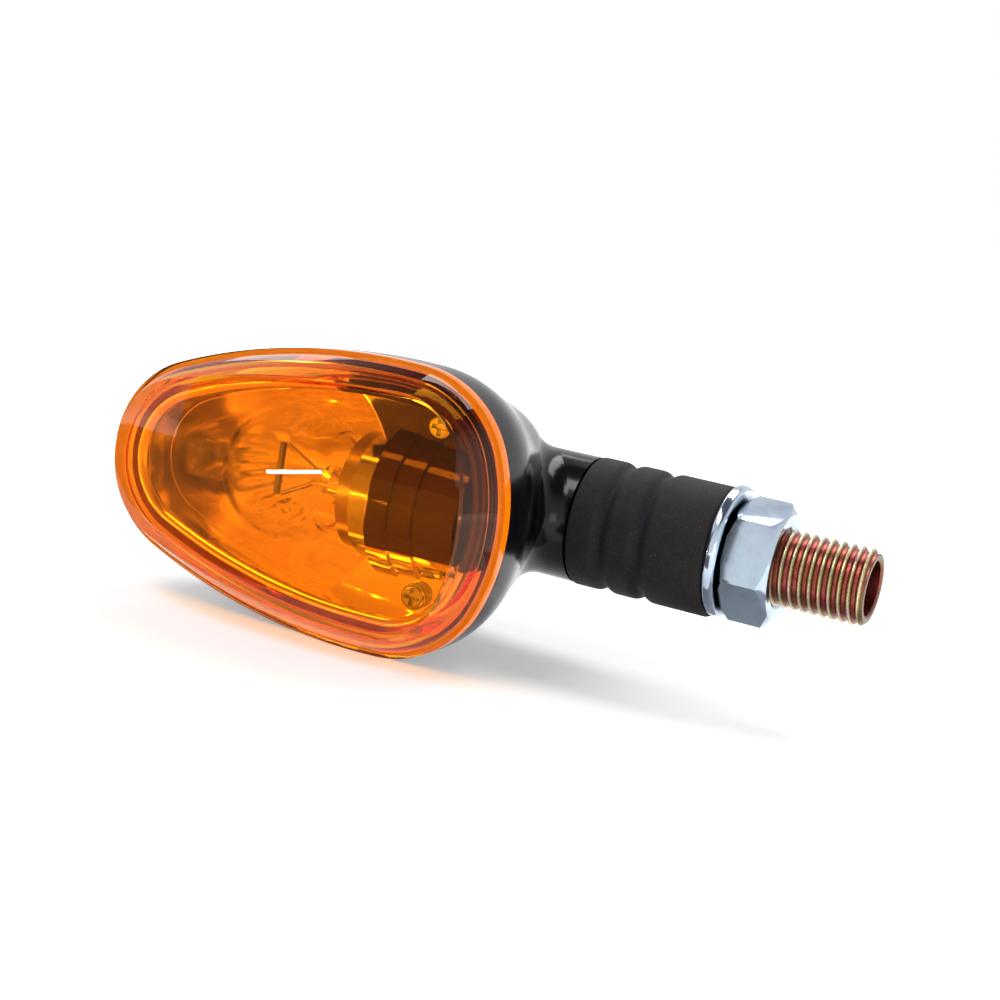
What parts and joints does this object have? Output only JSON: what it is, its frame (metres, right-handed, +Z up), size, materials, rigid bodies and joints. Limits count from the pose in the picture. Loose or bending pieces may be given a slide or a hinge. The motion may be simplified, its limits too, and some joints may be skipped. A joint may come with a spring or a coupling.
{
  "type": "turn signal indicator",
  "caption": "Teardrop motorcycle turn signal with a deep amber lens, a black bowl housing and a grooved rubber stem on a hollow threaded stud with washer and hex nut.",
  "frame": {"origin": "on the stud axis, in the rubber stem's outer clamping face", "axes": "+X along the stem axis and out of the stud's free end, -Y the way the lens faces, +Z up"},
  "size_m": [0.0945, 0.0426, 0.0364],
  "materials": {
    "black_abs": "gloss moulded",
    "rim_silicone": "matt foam",
    "amber_pmma": "clear moulded",
    "metallised_abs": "vacuum metallised",
    "zinc_steel": "bright zinc",
    "clear_glass": "clear blown",
    "nickel_brass": "nickel plated",
    "tungsten": "drawn",
    "black_vitrite": "fired",
    "solder": "dull",
    "phenolic": "matt",
    "spring_steel": "drawn",
    "epdm": "matt moulded",
    "yellow_chromate_steel": "yellow chromate"
  },
  "bodies": {
    "mount": {"stud": "yellow_chromate_steel", "rubber_stem": "epdm"},
    "head": {"housing": "black_abs", "rim_gasket": "rim_silicone", "reflector": "metallised_abs", "reflector_screws": "zinc_steel", "bulb_socket": "zinc_steel", "socket_insulator": "phenolic", "contact_spring": "spring_steel", "earth_tag": "nickel_brass", "inner_stud": "zinc_steel", "inner_ring_nut": "zinc_steel"},
    "lens_cover": {"lens": "amber_pmma"},
    "contact": {"contact_plunger": "nickel_brass"},
    "bulb": {"bulb_glass": "clear_glass", "bulb_stem": "clear_glass", "filament_supports": "tungsten", "filament": "tungsten", "bulb_cap": "nickel_brass", "bulb_insulator": "black_vitrite", "bulb_contact": "solder"},
    "washer_body": {"washer": "zinc_steel"},
    "nut_body": {"nut": "zinc_steel"}
  },
  "joints": [
    {"name": "stem_flex", "type": "hinge", "parent": "mount", "child": "head", "pos_m": [-0.0094, 0, 0], "axis": [0, 0, 1], "range_deg": [-20, 20], "stiffness_Nm_per_rad": 1.5, "deforming": ["rubber_stem"]},
    {"name": "lens_release", "type": "slide", "parent": "head", "child": "lens_cover", "axis": [0, -1, 0], "range_m": [0, 0.02]},
    {"name": "bulb_press", "type": "slide", "parent": "head", "child": "contact", "axis": [1, 0, 0], "range_m": [0, 0.0015], "deforming": ["contact_spring"]},
    {"name": "bulb_turn", "type": "hinge", "parent": "contact", "child": "bulb", "pos_m": [-0.04, -0.0165, 0], "axis": [1, 0, 0], "range_deg": [-20, 0]},
    {"name": "washer_slide", "type": "slide", "parent": "mount", "child": "washer_body", "axis": [1, 0, 0], "range_m": [0, 0.011]},
    {"name": "nut_spin", "type": "hinge", "parent": "washer_body", "child": "nut_body", "pos_m": [0.005, 0, 0], "axis": [1, 0, 0], "range_deg": [0, 3168]}
  ],
  "couplings": [
    {"joint": "bulb_press", "follows": "bulb_turn", "m_per_rad": -0.004295},
    {"joint": "washer_slide", "follows": "nut_spin", "m_per_rad": 0.00019894}
  ]
}
